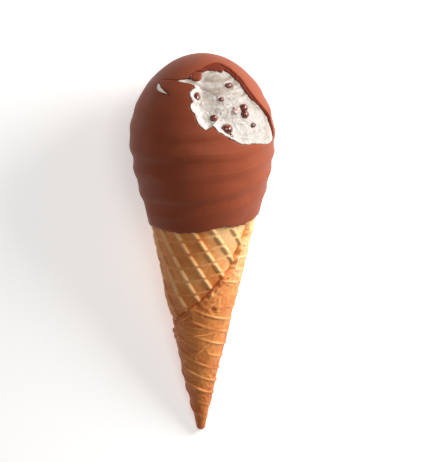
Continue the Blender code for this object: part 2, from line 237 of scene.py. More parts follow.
def skin(name, rings, material, capped=False, **attributes):
    """A closed surface through rings of upright points, given as rows of columns.

    The columns always close on themselves. The last row is joined to the first,
    or, where capped is set, each of the two is drawn together to its middle.
    Attributes hold one number for each point. Faces are turned to point outwards
    by the sign of the volume, the sum of the triangles' triple products.
    """
    rows, columns = rings.shape[:2]
    points = laid(rings).reshape(-1, 3)
    index = np.arange(rows * columns).reshape(rows, columns)
    beside = np.roll(index, -1, axis=1)
    over, over_beside = np.roll(index, -1, axis=0), np.roll(beside, -1, axis=0)
    used = rows - 1 if capped else rows
    quads = np.stack([index, beside, over_beside, over], axis=-1)[:used].reshape(-1, 4)
    fans = np.empty((0, 3), int)
    if capped:
        poles = rows * columns + np.arange(2)
        middles = np.stack([points[index[0]].mean(0), points[index[-1]].mean(0)])
        points = np.concatenate([points, middles])
        first = np.stack([np.full(columns, poles[0]), beside[0], index[0]], axis=-1)
        last = np.stack([np.full(columns, poles[1]), index[-1], beside[-1]], axis=-1)
        fans = np.concatenate([first, last])
    a, b, c, d = (points[quads[:, k]] for k in range(4))
    volume = (np.cross(a, b) * c).sum() + (np.cross(a, c) * d).sum()
    if volume < 0:
        quads, fans = quads[:, ::-1], fans[:, ::-1]
    corners = np.concatenate([quads.ravel(), fans.ravel()])
    starts = np.concatenate([np.arange(len(quads)) * 4, quads.size + np.arange(len(fans)) * 3])
    mesh = bpy.data.meshes.new(name)
    mesh.vertices.add(len(points))
    mesh.vertices.foreach_set("co", points.astype(np.float32).ravel())
    mesh.loops.add(len(corners))
    mesh.loops.foreach_set("vertex_index", corners.astype(np.int32))
    mesh.polygons.add(len(starts))
    mesh.polygons.foreach_set("loop_start", starts.astype(np.int32))
    mesh.update(calc_edges=True)
    if mesh.validate():
        raise ValueError(f"{name} has faces that Blender had to mend")
    for key, values in attributes.items():
        values = np.asarray(values, float).ravel()
        values = np.concatenate([values, np.full(len(points) - len(values), values.mean())])
        mesh.attributes.new(key, "FLOAT", "POINT").data.foreach_set("value", values.astype(np.float32))
    mesh.shade_smooth()
    mesh.materials.append(material)
    thing = bpy.data.objects.new(name, mesh)
    bpy.context.scene.collection.objects.link(thing)
    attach(thing, "root")
    return thing


def joined(name, things):
    """One object from several, with their meshes merged into the first one's."""
    first = things[0]
    with bpy.context.temp_override(active_object=first, object=first, selected_editable_objects=things):
        bpy.ops.object.join()
    first.name = name
    first.data.name = name
    return first


# Materials


def linear(hex_colour):
    """An sRGB hex colour as linear red, green and blue."""
    parts = [int(hex_colour[k : k + 2], 16) / 255 for k in (1, 3, 5)]
    return tuple(c / 12.92 if c <= 0.04045 else ((c + 0.055) / 1.055) ** 2.4 for c in parts)


def per_mm(size):
    """A texture's scale, on coordinates in metres, that gives it features of this size in mm."""
    return 1 / (size * MM)


def add(tree, kind, inputs=None, **properties):
    """Adds one node. Its inputs are given by name or number, each a value or another node's output."""
    node = tree.nodes.new(kind)
    for key, value in properties.items():
        setattr(node, key, value)
    for key, value in (inputs or {}).items():
        if isinstance(value, bpy.types.NodeSocket):
            tree.links.new(value, node.inputs[key])
        else:
            node.inputs[key].default_value = value
    return node


def new_material(name):
    """An empty material: (material, its tree, the place in the frame as an output)."""
    material = bpy.data.materials.new(name)
    material.use_nodes = True
    material.node_tree.nodes.clear()
    return material, material.node_tree, add(material.node_tree, "ShaderNodeTexCoord").outputs["Object"]


def finish(tree, inputs):
    """The material's shader and output."""
    shader = add(tree, "ShaderNodeBsdfPrincipled", inputs)
    add(tree, "ShaderNodeOutputMaterial", {"Surface": shader.outputs["BSDF"]})


def cloud(tree, place, size, detail=3.0, rough=0.5):
    """Cloudy noise from 0 to 1 with features of a size in mm."""
    inputs = {"Vector": place, "Scale": per_mm(size), "Detail": detail, "Roughness": rough}
    return add(tree, "ShaderNodeTexNoise", inputs).outputs["Fac"]


def cells(tree, place, size):
    """Distance from the middles of irregular cells of a size in mm."""
    return add(tree, "ShaderNodeTexVoronoi", {"Vector": place, "Scale": per_mm(size)}).outputs["Distance"]


def weighted(tree, first, weight, second):
    """first * weight + second."""
    inputs = {0: first, 1: weight, 2: second}
    return add(tree, "ShaderNodeMath", inputs, operation="MULTIPLY_ADD").outputs[0]


def stretched(tree, value, low, high, to_low, to_high):
    """A value from low to high carried over to another range."""
    inputs = {"Value": value, "From Min": low, "From Max": high, "To Min": to_low, "To Max": to_high}
    return add(tree, "ShaderNodeMapRange", inputs).outputs[0]


def stored(tree, name):
    """A number that the mesh holds for each point."""
    return add(tree, "ShaderNodeAttribute", attribute_name=name).outputs["Fac"]


def ramp(tree, factor, *stops):
    """A colour ramp through (position, linear colour) stops."""
    node = add(tree, "ShaderNodeValToRGB", {"Fac": factor})
    elements = node.color_ramp.elements
    while len(elements) < len(stops):
        elements.new(0.5)
    for element, (position, colour) in zip(elements, stops):
        element.position = position
        element.color = (*colour[:3], 1)
    return node.outputs["Color"]


def mixed(tree, factor, first, colour):
    """A colour from a node mixed by a factor with a linear colour."""
    inputs = {0: factor, 6: first, 7: (*colour[:3], 1)}
    return add(tree, "ShaderNodeMix", inputs, data_type="RGBA").outputs[2]


def bumped(tree, height, strength, deep):
    """A bump of a depth in mm."""
    inputs = {"Height": height, "Strength": strength, "Distance": deep * MM}
    return add(tree, "ShaderNodeBump", inputs).outputs["Normal"]


def shade(colour, factor):
    """A linear colour made lighter or darker."""
    return tuple(min(1, c * factor) for c in colour)


def milk_chocolate(settings):
    """Milk chocolate, melted and set in the cold: a smooth satin skin whose gloss is dulled
    in soft cloudy patches, and a rougher face where it is broken, coloured darker there as painted shade."""
    material, tree, place = new_material("milk chocolate, dipped")
    clouds = cloud(tree, place, 9)
    broken = stored(tree, "broken")
    colour = ramp(tree, clouds, (0.35, settings.colour), (0.68, shade(settings.colour, 1.12)))
    satin = stretched(tree, clouds, 0.3, 0.7, 0.44, 0.56)
    finish(tree, {
        # Painted shade: the broken face, a band along the bite's edge, the inside and the tab are darker.
        "Base Color": mixed(tree, broken, colour, settings.broken_shade_colour),
        "Roughness": weighted(tree, broken, 0.3, satin),
        "Specular IOR Level": 0.12,
        "Subsurface Weight": 0.08,
        "Subsurface Radius": (1.0, 0.35, 0.2),
        "Subsurface Scale": 0.6 * MM,
        "Normal": bumped(tree, cloud(tree, place, 0.7, 4.0), 0.25, 0.05),
    })
    return material


def vanilla_ice(settings):
    """Vanilla ice cream, churned and bitten: cream-white and faintly see-through, greyer where
    it was scraped and, as painted shade, in the upper part of the bite, whiter as a painted highlight
    at the crescent and the bite's left rim, with fine ice crystals that sparkle where it is rough."""
    material, tree, place = new_material("vanilla ice cream, bitten")
    cream = cloud(tree, place, 4, 5.0, 0.6)
    fine = cloud(tree, place, 0.5, 4.0)
    cream = weighted(tree, cells(tree, place, 1.1), -0.22, cream)
    bright = ramp(tree, cream, (0.26, shade(settings.colour, 0.78)), (0.42, settings.colour))
    # Greyer along the scrape stripes, and in the upper part of the bite as painted shade.
    colour = mixed(tree, stored(tree, "scraped"), bright, settings.scraped_colour)
    crystals = weighted(tree, cells(tree, place, 0.9), 0.6, fine)
    finish(tree, {
        # Painted highlight: whiter at the crescent and over the outer part and left rim of the bite.
        "Base Color": mixed(tree, stored(tree, "fresh"), colour, settings.fresh_colour),
        "Roughness": stretched(tree, fine, 0.35, 0.65, 0.22, 0.5),
        "IOR": 1.33,
        "Subsurface Weight": 0.5,
        "Subsurface Radius": (1.0, 0.8, 0.6),
        "Subsurface Scale": 1.2 * MM,
        "Normal": bumped(tree, crystals, 0.5, 0.16),
    })
    return material


def baked_wafer(settings):
    """Sugar wafer, baked between irons and rolled hot: dry and finely pitted, pale gold where
    it is thick and browner in patches and towards the tip; browner in the pockets partly as painted
    shade, with a painted shadow at the seam's step and a paler painted highlight on the upper right."""
    material, tree, place = new_material("waffle wafer, baked")
    freckles = cloud(tree, place, 1.3, 5.0, 0.65)
    # The browning values carry painted shade and a painted highlight as well as baking.
    patches = weighted(tree, cloud(tree, place, 11, 4.0, 0.6), 0.55, stored(tree, "browned"))
    baked = weighted(tree, freckles, 0.35, patches)
    pits = weighted(tree, cells(tree, place, 1.1), 0.5, freckles)
    stops = (0.42, settings.pale_colour), (0.68, settings.colour), (1.0, settings.brown_colour)
    finish(tree, {
        "Base Color": ramp(tree, baked, *stops),
        "Roughness": 0.58,
        "IOR": 1.45,
        "Subsurface Weight": 0.12,
        "Subsurface Radius": (1.0, 0.5, 0.25),
        "Subsurface Scale": 0.8 * MM,
        "Normal": bumped(tree, pits, 0.55, 0.18),
    })
    return material


def dark_pearl(settings):
    """Dark chocolate pearls, tumbled and glazed: a deep red-brown with a hard wet gloss."""
    material, tree, place = new_material("dark chocolate, glazed")
    clouds = cloud(tree, place, 1.6, 2.0)
    deep = settings.pearl_colour
    finish(tree, {
        "Base Color": ramp(tree, clouds, (0.35, deep), (0.7, shade(deep, 2.6))),
        "Roughness": 0.2,
        "IOR": 1.5,
        "Coat Weight": 0.6,
        "Coat Roughness": 0.06,
    })
    return material


def nougat(settings):
    """A soft pellet of cocoa nougat, pressed and cut: dull mauve-cream with a waxy surface."""
    material, tree, place = new_material("cocoa nougat, cut")
    clouds = cloud(tree, place, 1.2)
    finish(tree, {
        "Base Color": ramp(tree, clouds, (0.4, settings.pellet_colour), (0.6, linear("#e8c8bd"))),
        "Roughness": 0.35,
        "Subsurface Weight": 0.2,
        "Subsurface Scale": 0.5 * MM,
    })
    return material


def matt_card(settings):
    """Seamless background card, lit from behind and matt white: no gloss, and a faint tooth."""
    material, tree, place = new_material("background card, matt white")
    finish(tree, {
        "Base Color": (*settings.floor_colour, 1),
        "Roughness": 0.9,
        "Specular IOR Level": 0.1,
        "Emission Color": (1, 1, 1, 1),
        "Emission Strength": settings.floor_glow,
        "Normal": bumped(tree, cloud(tree, place, 3), 0.05, 0.1),
    })
    return material


# Waffle cone


def seam_turn(height):
    """The turn of the sheet's outer edge: the facing plus the sweep times tanh of the height over the middle.

    A low hump and a lower dip, both bell curves, put back the wander of the baked edge.
    """
    wander = 0.13 * np.exp(-(((height - 67) / 7.5) ** 2)) - 0.06 * np.exp(-(((height - 91) / 4) ** 2))
    return SEAM_FACING + SEAM_SWEEP * np.tanh((height - SEAM_MIDDLE_HEIGHT) / SEAM_REACH) + wander


def wafer_radius(height, share):
    """Outside of the rolled sheet: share runs from 0 at its outer edge to 1 after a full turn."""
    return height * SLOPE + SHEET * smooth(TIP_HEIGHT, SHEET_FULL_HEIGHT, height) * (0.5 - share)


def seam_share(height, turn):
    """How far round from the seam a place is, from 0 to 1."""
    return ((turn - seam_turn(height)) / FULL_TURN) % 1


def ridge_count(direction, spacing, offset, height, turn):
    """Counts ridges across the sheet laid flat: the distance of the place across them over their spacing."""
    slant = height / math.cos(CONE_HALF_ANGLE)
    angle = turn * math.sin(CONE_HALF_ANGLE)
    across = slant * (np.sin(angle) * math.cos(direction) - np.cos(angle) * math.sin(direction))
    return (across - offset) / spacing


def off_ridge(count, spacing):
    """Distance in mm from the nearest ridge."""
    return abs(count - np.round(count)) * spacing


def wafer_relief(height, turn):
    """How far the waffle stands up over the bottom of its pockets, in mm.

    On the sheet's inner end the first family of ridges is broad and rounded, and
    nicked to dashes where the second family crosses it, which is faint. On the
    outer end both are thin and worn off in patches.
    """
    inner = smooth(*GRID_DRIFT, turn)
    places = upright(height * SLOPE, turn, height)
    worn = np.clip(0.55 + 0.9 * noise(places, 5.5, 51), 0, 1)
    worn_more = np.clip(0.15 + 0.9 * noise(places, 5.0, 52), 0, 1)
    first = off_ridge(ridge_count(*RIDGE_A, height, turn - FULL_TURN), RIDGE_A[1])
    outer_count = ridge_count(*RIDGE_B_OUTER, height, turn)
    inner_count = ridge_count(*RIDGE_B_INNER, height, turn - FULL_TURN) + RIDGE_B_COUNT_SHIFT
    second = off_ridge(outer_count + (inner_count - outer_count) * inner, RIDGE_B_OUTER[1])
    dash = np.sqrt(np.clip(1 - (first / 1.05) ** 2, 0, 1)) * (0.25 + 0.75 * smooth(0.2, 1.1, second))
    line = 1 - smooth(0.15, 0.75, second)
    diagonal = 1 - smooth(0.1, 0.65, first)
    inside = np.maximum(1.1 * dash, 0.2 * line)
    creases = 1 - smooth(0.03, 0.16, abs(noise(places * np.array((0.6, 0.6, 1)), 3.2, 53)))
    creases = creases * np.clip(0.6 + 0.9 * noise(places, 6.0, 54), 0, 1)
    outside = np.maximum(0.62 * line * worn, 0.5 * diagonal * worn_more)
    outside = np.maximum(outside, 0.34 * creases)
    return outside + (inside - outside) * inner


def wafer_browning_and_painted_light(places, height, facing, relief, tucked, crust, pit):
    """How strongly the wafer is baked, with painted light and shade, as an offset to the middle of its
    colours.

    The flake and the tip are browner. The pockets are browner, partly from baking and partly as painted
    shade in the recesses, and more so on the shaded left flank. The foot of the seam's step is browner
    as a painted shadow. The ridges are paler, and the upper right of the cone, where the key light falls,
    is paler as a painted highlight. The sums are smooth steps in height and facing, plus cloudy noise.
    """
    # Pockets are browner, partly from baking and partly as painted shade in the recesses.
    pockets = 1 - np.clip(relief * 1.6, 0, 1)
    scab = np.exp(-(((pit - 2.1) / 0.6) ** 2))
    # The term on the tucked strip paints a shadow at the foot of the seam's step.
    browned = 0.26 * pockets + 0.1 * (1 - smooth(15, 70, height)) + 0.45 * tucked + 0.1 * noise(places, 6, 9)
    browned = browned + crust * (1 - 0.6 * smooth(76, 88, height))
    browned = browned + 0.3 * np.exp(-((pit / 0.9) ** 2)) - 0.2 * scab + 0.1 * (1 - smooth(9, 17, height))
    # Painted shade: the pockets on the shaded left flank are browner.
    left = smooth(200, 280, facing) * (1 - smooth(330, 360, facing)) * smooth(50, 62, height)
    # Painted highlight: the upper right, where the key light falls, is paler.
    right = smooth(-15, 45, (facing + 90) % 360 - 90) * (1 - smooth(90, 150, facing))
    dark = (1 - smooth(40, 74, height)) * (1 - smooth(250, 300, (facing + 300) % 360))
    browned = browned + 0.08 * left * pockets - 0.32 * smooth(70, 104, height) * right
    return browned + 0.08 * (1 - smooth(60, 80, height)) + 0.16 * dark


def wafer_rings(settings):
    """The rolled sheet as rings, with its browning, which carries painted light and shade, and its ridges.

    Outside, a point's turn is the seam's turn plus its share of a full turn,
    which leaves out a sliver for the ragged cut edge. Its radius is the rolled
    sheet's, less the pockets' depth where no ridge stands, plus grain, crumbs by
    the edge, the flake's pit, and a low bulge where the sheet stands off on the
    left flank, whose pattern is pressed flatter. Inside is the plain cavity.
    """
    columns, rows = 290, 322
    tip = TIP_HEIGHT + TIP_ROUND + 0.1
    even = np.linspace(0, 1, columns)[None, :]
    share = even - 0.45 * np.sin(FULL_TURN * even) / FULL_TURN
    height = np.linspace(tip, MOUTH_HEIGHT, rows)[:, None]
    rim = np.linspace(0.5, 0, 4)
    around = FULL_TURN * height * SLOPE
    along = np.concatenate([height, 0 * height, 0 * height], axis=-1)[:, None]
    ragged = 1.2 * noise(along, 3.0, 3) + 0.8 * noise(along, 1.2, 4)
    closing = np.minimum(0.02, 0.35 / around)
    ragged = (ragged - 0.05) * np.exp(-((share * around / 2.5) ** 2)) * smooth(26, 40, height)
    turn = seam_turn(height) + share * (1 - closing) * FULL_TURN + ragged / around * FULL_TURN
    places = upright(height * SLOPE, turn, height)
    relief = wafer_relief(height, turn)
    fade = smooth(8, 18, height)
    to_edge = share * around
    crumbly = np.exp(-((to_edge / 1.6) ** 2)) * smooth(24, 38, height)
    crust = np.exp(-((to_edge / 4.0) ** 2)) * smooth(24, 38, height)
    inner = smooth(*GRID_DRIFT, turn)
    grain = 0.09 * noise(places, 1.4, 5) + 0.22 * noise(places, 9, 7)
    crumbs = noise(places, 1.4, 19)
    grain = grain + (1 - inner) * 0.14 * noise(places, 2.2, 18) + crust * 0.4 * crumbs
    lift = crumbly * (0.25 + 0.9 * noise(places, 1.6, 8))
    pit = np.linalg.norm(places - upright(*FLAKE), axis=-1) * (1 + 0.7 * noise(places, 1.5, 20))
    scab = np.exp(-(((pit - 2.1) / 0.6) ** 2))
    lift = lift - 0.6 * np.exp(-((pit / 0.75) ** 2)) + 0.4 * scab
    floor_level = settings.pocket_depth / MM * (0.55 + 0.45 * inner)
    floor_level = floor_level * (0.45 + 0.55 * smooth(30, 75, height))
    facing = np.degrees(turn % FULL_TURN)
    flank = np.exp(-(((facing - 270) / 32) ** 2))
    pattern = (relief * (1 - 0.8 * crumbly) - floor_level) * (1 - 0.6 * flank * smooth(50, 62, height))
    bulge = 1.3 * np.exp(-(((height - 68) / 10) ** 2) - ((facing - 275) / 45) ** 2)
    bulge = bulge * smooth(0.4, 0.7, share)
    radius = wafer_radius(height, share) + fade * (pattern + grain) + lift + bulge - 0.1
    tucked = np.exp(-(((1 - share) * around / 0.7) ** 2)) * fade
    radius = radius - 0.5 * tucked
    # The browning includes painted light: shade in the pockets and at the seam's step, a highlight on the
    # upper right.
    browned = wafer_browning_and_painted_light(places, height, facing, relief, tucked, crust * (0.2 - 0.3 * crumbs), pit)
    outside = upright(radius, turn, height)
    angle = np.linspace(math.pi / 12, math.pi / 2, 6)[:-1, None]
    tip_share = np.sin(angle)
    tip_height = TIP_HEIGHT + 0.1 + TIP_ROUND * (1 - np.cos(angle))
    tip_turn = seam_turn(tip_height) + share * (1 - closing[0]) * FULL_TURN
    tip_part = upright(radius[:1] * tip_share, tip_turn, tip_height)
    inner_height = np.linspace(MOUTH_HEIGHT, CAVITY_HEIGHT, 7)[:, None]
    inner_height = np.concatenate([inner_height[:1], inner_height])
    inner_turn = turn[-1:] + 0 * inner_height
    inner_radius = inner_height * SLOPE - SHEET / 2 - WALL
    inner_radius = np.concatenate([(radius[-1:] + inner_radius[:1]) / 2, inner_radius[1:] + 0 * share])
    inside = upright(inner_radius, inner_turn, inner_height)
    foot = upright(inner_radius[-1:] * rim[1:3, None], inner_turn[:1] + 0 * rim[1:3, None], CAVITY_HEIGHT)
    rings = np.concatenate([tip_part, outside, inside, foot])
    plain = np.full((len(rings) - len(tip_part) - rows, columns), 0.35)
    brown = np.concatenate([np.full(tip_part.shape[:2], browned[0].mean() + 0.1), browned, plain])
    return rings, brown


# Ball


def fold_depth(height, turn, depth):
    """Depth of the spiral fold: a groove once in each pitch of height, rising with the turn,
    steep above and gentle below, as deep as the named strengths have it."""
    level = (height - FOLD_START - FOLD_LEAN * np.sin(turn)) / FOLD_PITCH - turn / FULL_TURN
    nearest = np.round(level)
    away = level - nearest
    groove = np.exp(-((away / np.where(away > 0, 0.2, 0.42)) ** 2))
    fold = np.clip(nearest + 1, 0, len(FOLD_STRENGTHS) - 1)
    rows = [np.interp(turn, np.radians(FOLD_TURNS), row, period=FULL_TURN) for row in FOLD_STRENGTHS]
    strength = sum(row * np.clip(1 - abs(fold - k), 0, 1) for k, row in enumerate(rows))
    fade = smooth(0, DOME_RISE / 2, BALL_HEIGHT + DOME_RISE - height)
    return depth * strength * fade * groove


def dip_height(turn):
    """Height of the coating's lower edge, a little wavy."""
    return DIP_HEIGHT + DIP_TILT * np.sin(turn) + DIP_WAVE * np.sin(DIP_WAVES * turn)


def chart_turn(chart):
    """The turn of a place in the chart."""
    return np.arctan2(chart.real, -chart.imag)


def ball_place(chart, depth, low):
    """(radius, height) of a place in the chart, at a depth under the ball's plain surface.

    Above the widest level the ray from the ball's middle meets a superellipse,
    (radius / widest)^power + (height / rise)^power = 1. Below it, the height
    falls evenly with the ray's angle to the level low, and the radius is drawn
    in by a power of the drop.
    """
    angle = 2 * np.arctan(abs(chart))
    up = np.clip(np.cos(angle), 0, 1)
    out = np.clip(np.sin(angle), 0, 1)
    wide, high = BALL_RADIUS - depth, DOME_RISE - depth
    ray = ((out / wide) ** DOME_POWER + (up / high) ** DOME_POWER) ** (-1 / DOME_POWER)
    fall = np.clip((angle - math.pi / 2) / (RIM_ANGLE - math.pi / 2), 0, None)
    drop = (BALL_HEIGHT - low) * fall
    below = BALL_RADIUS - depth - NECK_DRAW * (drop / NECK_DROP) ** NECK_POWER
    above = angle <= math.pi / 2
    return np.where(above, ray * out, below), BALL_HEIGHT + np.where(above, ray * up, -drop)


def bite_edge(direction):
    """Reach of the bite's broken edge in a direction in radians: straight lines between
    the named points, rounded off within half a degree, with small teeth."""
    angles, reaches = np.array(BITE_EDGE).T
    fine = np.radians(np.arange(-180, 180, 0.125))
    line = np.interp(fine, np.radians(angles), reaches, period=FULL_TURN)
    rounded = sum(np.roll(line, k) for k in range(-4, 5)) / 9
    teeth = noise(np.stack([np.cos(fine), np.sin(fine), 0 * fine], -1) * 20, 1.1, 11)
    return np.interp(direction, fine, rounded + 0.003 * teeth, period=FULL_TURN)


def bite_directions(columns):
    """Directions round the bite, spaced half by angle and half by length along its edge."""
    fine = np.linspace(-math.pi, math.pi, 2881)
    edge = bite_edge(fine) * np.exp(1j * fine)
    length = np.concatenate([[0], np.cumsum(abs(np.diff(edge)))])
    measure = length / length[-1] + (fine + math.pi) / FULL_TURN * 0.6
    return np.interp(np.arange(columns) / columns * measure[-1], measure, fine)


def rim_reach(direction):
    """Reach of the chart's rim, where the coating ends: the far root of |middle + reach * ray| = rim."""
    ray = np.exp(1j * direction)
    along = (BITE_MIDDLE * ray.conj()).real
    rim = math.tan(RIM_ANGLE / 2)
    return -along + np.sqrt(along**2 + rim**2 - abs(BITE_MIDDLE) ** 2)


def bite_point(direction, reach, depth):
    """Upright point of a place given round the bite, in degrees, at a depth under the plain surface."""
    chart = BITE_MIDDLE + reach * np.exp(1j * np.radians(direction))
    radius, height = ball_place(chart, depth, DIP_HEIGHT)
    return upright(radius, chart_turn(chart), height)


def coating_relief(direction, reach, chart, settings):
    """Height of the coating over the ball's plain surface, in mm: less the spiral fold, plus
    soft waves, the flap that stands up beyond the crack, and the grooves of the crack and crescent."""
    radius, height = ball_place(chart, 0, DIP_HEIGHT)
    turn = chart_turn(chart)
    places = upright(radius, turn, height)
    low = smooth(0, 22, BALL_HEIGHT + 14 - height)
    fold = fold_depth(height + 0.9 * noise(places, 15, 12), turn, settings.fold_depth / MM)
    fold = fold * (0.9 + 0.35 * noise(places, 13, 13))
    waves = 0.3 * noise(places, 12, 14) * low + 0.06 * noise(places, 4.5, 15) - 0.15
    ribs = 0.09 * noise(places * np.array((0.15, 0.15, 1)), 2.4, 20) * low
    fold = fold - ribs
    degrees = np.degrees(direction)
    crack = np.interp(reach, *np.array(CRACK).T)
    off_crack = np.radians(degrees - crack) * reach * CRACK_UNIT
    line = np.exp(-((off_crack / 0.28) ** 2)) * smooth(0.43, 0.45, reach) * (1 - smooth(0.575, 0.60, reach))
    gap = np.interp(degrees, *np.array(CRESCENT).T)
    off_gap = (reach - gap) * CHART_UNIT
    on_gap = smooth(154, 158, degrees) * (1 - smooth(167, 170.5, degrees))
    groove = np.exp(-((off_gap / 0.55) ** 2)) * on_gap
    beyond = smooth(-0.1, 0.5, off_crack) * (1 - smooth(163, 174, degrees))
    flap = smooth(0.36, 0.55, reach) * (1 - smooth(-1.2, -0.2, off_gap)) * beyond
    return waves - fold + 0.55 * flap - 0.5 * line - 1.1 * groove


def over_wafer(height, turn):
    """Radius of the wafer under the coating, with the seam's step ramped over the last of the turn."""
    share = seam_share(height, turn)
    return wafer_radius(height, share - smooth(0.86, 1, share))


def coating_rings(settings):
    """The coating as rings from the bite's edge out over the ball, round the dipped
    edge and back inside. Reach grows as the tangent of an angle, which evens out
    the chart's scale, and faster from the edge."""
    columns, outer_rows, inner_rows = 480, 150, 22
    direction = bite_directions(columns)[None, :]
    edge, rim = bite_edge(direction), rim_reach(direction)
    bend = math.radians(75)

    def reach_at(share):
        return edge + (rim - edge) * np.tan(bend * share) / math.tan(bend)

    def rings_at(reach, depth, inner=False):
        chart = BITE_MIDDLE + reach * np.exp(1j * direction)
        turn = chart_turn(chart)
        low = dip_height(turn) + 0.45 * noise(upright(24.0, turn, 0 * turn), 2.6, 35) + 0.2
        radius, height = ball_place(chart, depth, low)
        wafer = over_wafer(height, turn)
        if inner:
            sleeve = smooth(MOUTH_HEIGHT + 2, MOUTH_HEIGHT - 1, height)
            radius = radius + (wafer - 0.3 - radius) * sleeve
        else:
            away = np.clip((height - low) / 1.3, 0, 1)
            least = np.maximum(radius - wafer, LIP + 0.15)
            radius = np.where(height < MOUTH_HEIGHT, wafer + least * np.sqrt(away * (2 - away)), radius)
        return upright(radius, turn, height)

    share = (np.arange(outer_rows)[:, None] / (outer_rows - 1)) ** 1.5
    reach = reach_at(share)
    chart = BITE_MIDDLE + reach * np.exp(1j * direction)
    relief = coating_relief(direction + 0 * reach, reach, chart, settings)
    from_edge = (reach - edge) * CHART_UNIT
    rounding = 0.28 * (1 - smooth(0, 0.9, from_edge))
    outer = rings_at(reach, rounding - relief)
    inner_share = np.linspace(1, 0, inner_rows)[:, None]
    inner = rings_at(reach_at(inner_share), COATING + 0 * edge, inner=True)
    degrees = np.degrees(direction)
    along = degrees[..., None] * np.ones(3)
    chip = np.exp(-(((degrees - 117) / 7.5) ** 2)) * (0.9 + 0.35 * noise(along, 9.0, 30))
    ledge = 0.004 + 0.021 * smooth(-4, 14, degrees) * (1 - smooth(125, 140, degrees)) + 0.042 * chip
    ledge = ledge * (1 + 0.3 * noise(along, 5.0, 16))
    steps = ((1.0, 1.75), (1.0, 1.45), (0.85, 1.15), (0.6, 1.0), (0.3, 0.95), (0.08, 0.8), (0.0, 0.55))
    wall = np.concatenate([rings_at(edge - ledge * inward, depth + 0 * edge) for inward, depth in steps])
    wall = wall + 0.10 * noise(wall, 0.7, 17)[..., None] * np.sign(wall - wall.mean((0, 1)))
    rings = np.concatenate([outer, inner, wall])
    # The broken face: a band along the outer edge, the inside at 0.6 and the wall in full are rougher and
    # darker, the darkness a painted shade.
    broken = np.concatenate([1 - smooth(0.1, 0.5, from_edge), 0 * inner[..., 0] + 0.6, 0 * wall[..., 0] + 1])
    return rings, broken


def ice_depth(direction, share, places):
    """Depth of the ice cream under the ball's plain surface, in mm, where share is 0 in the
    bite's middle and 1 at its edge.

    It is a shallow dish with lumps, scraped along level lines in its upper part and
    crystalline below, and it swells up to the coating's broken edge at the left and below.
    """
    degrees = np.degrees(direction)
    under = smooth(5, 32, degrees) * (1 - smooth(145, 160, degrees))
    level = 0.25 + 1.5 * under + 0.25 * noise(places, 1.6, 21)
    upper = smooth(-3, 9, (places[..., 2] - 157))
    lumps = 0.45 * noise(places, 6, 22) + 0.22 * noise(places, 2.4, 23)
    squeezed = places * np.array((0.16, 0.16, 1.0))
    scrapes = (0.34 * noise(squeezed, 1.5, 24) + 0.16 * noise(squeezed, 0.8, 33)) * (0.4 + 0.6 * upper)
    crystals = (0.15 * noise(places, 0.95, 25) + 0.1 * noise(places, 0.5, 26)) * (1.1 - 0.7 * upper)
    dish = COATING + 0.9 * smooth(1.05, 0.5, share) - lumps - scrapes
    swell = smooth(0.80, 0.97, share + 0.03 * noise(places, 2.0, 27))
    depth = dish + (level - dish) * swell - crystals
    hidden = COATING + ICE_UNDER
    return np.where(share > 1.0, hidden, np.minimum(depth, hidden + 2.0))


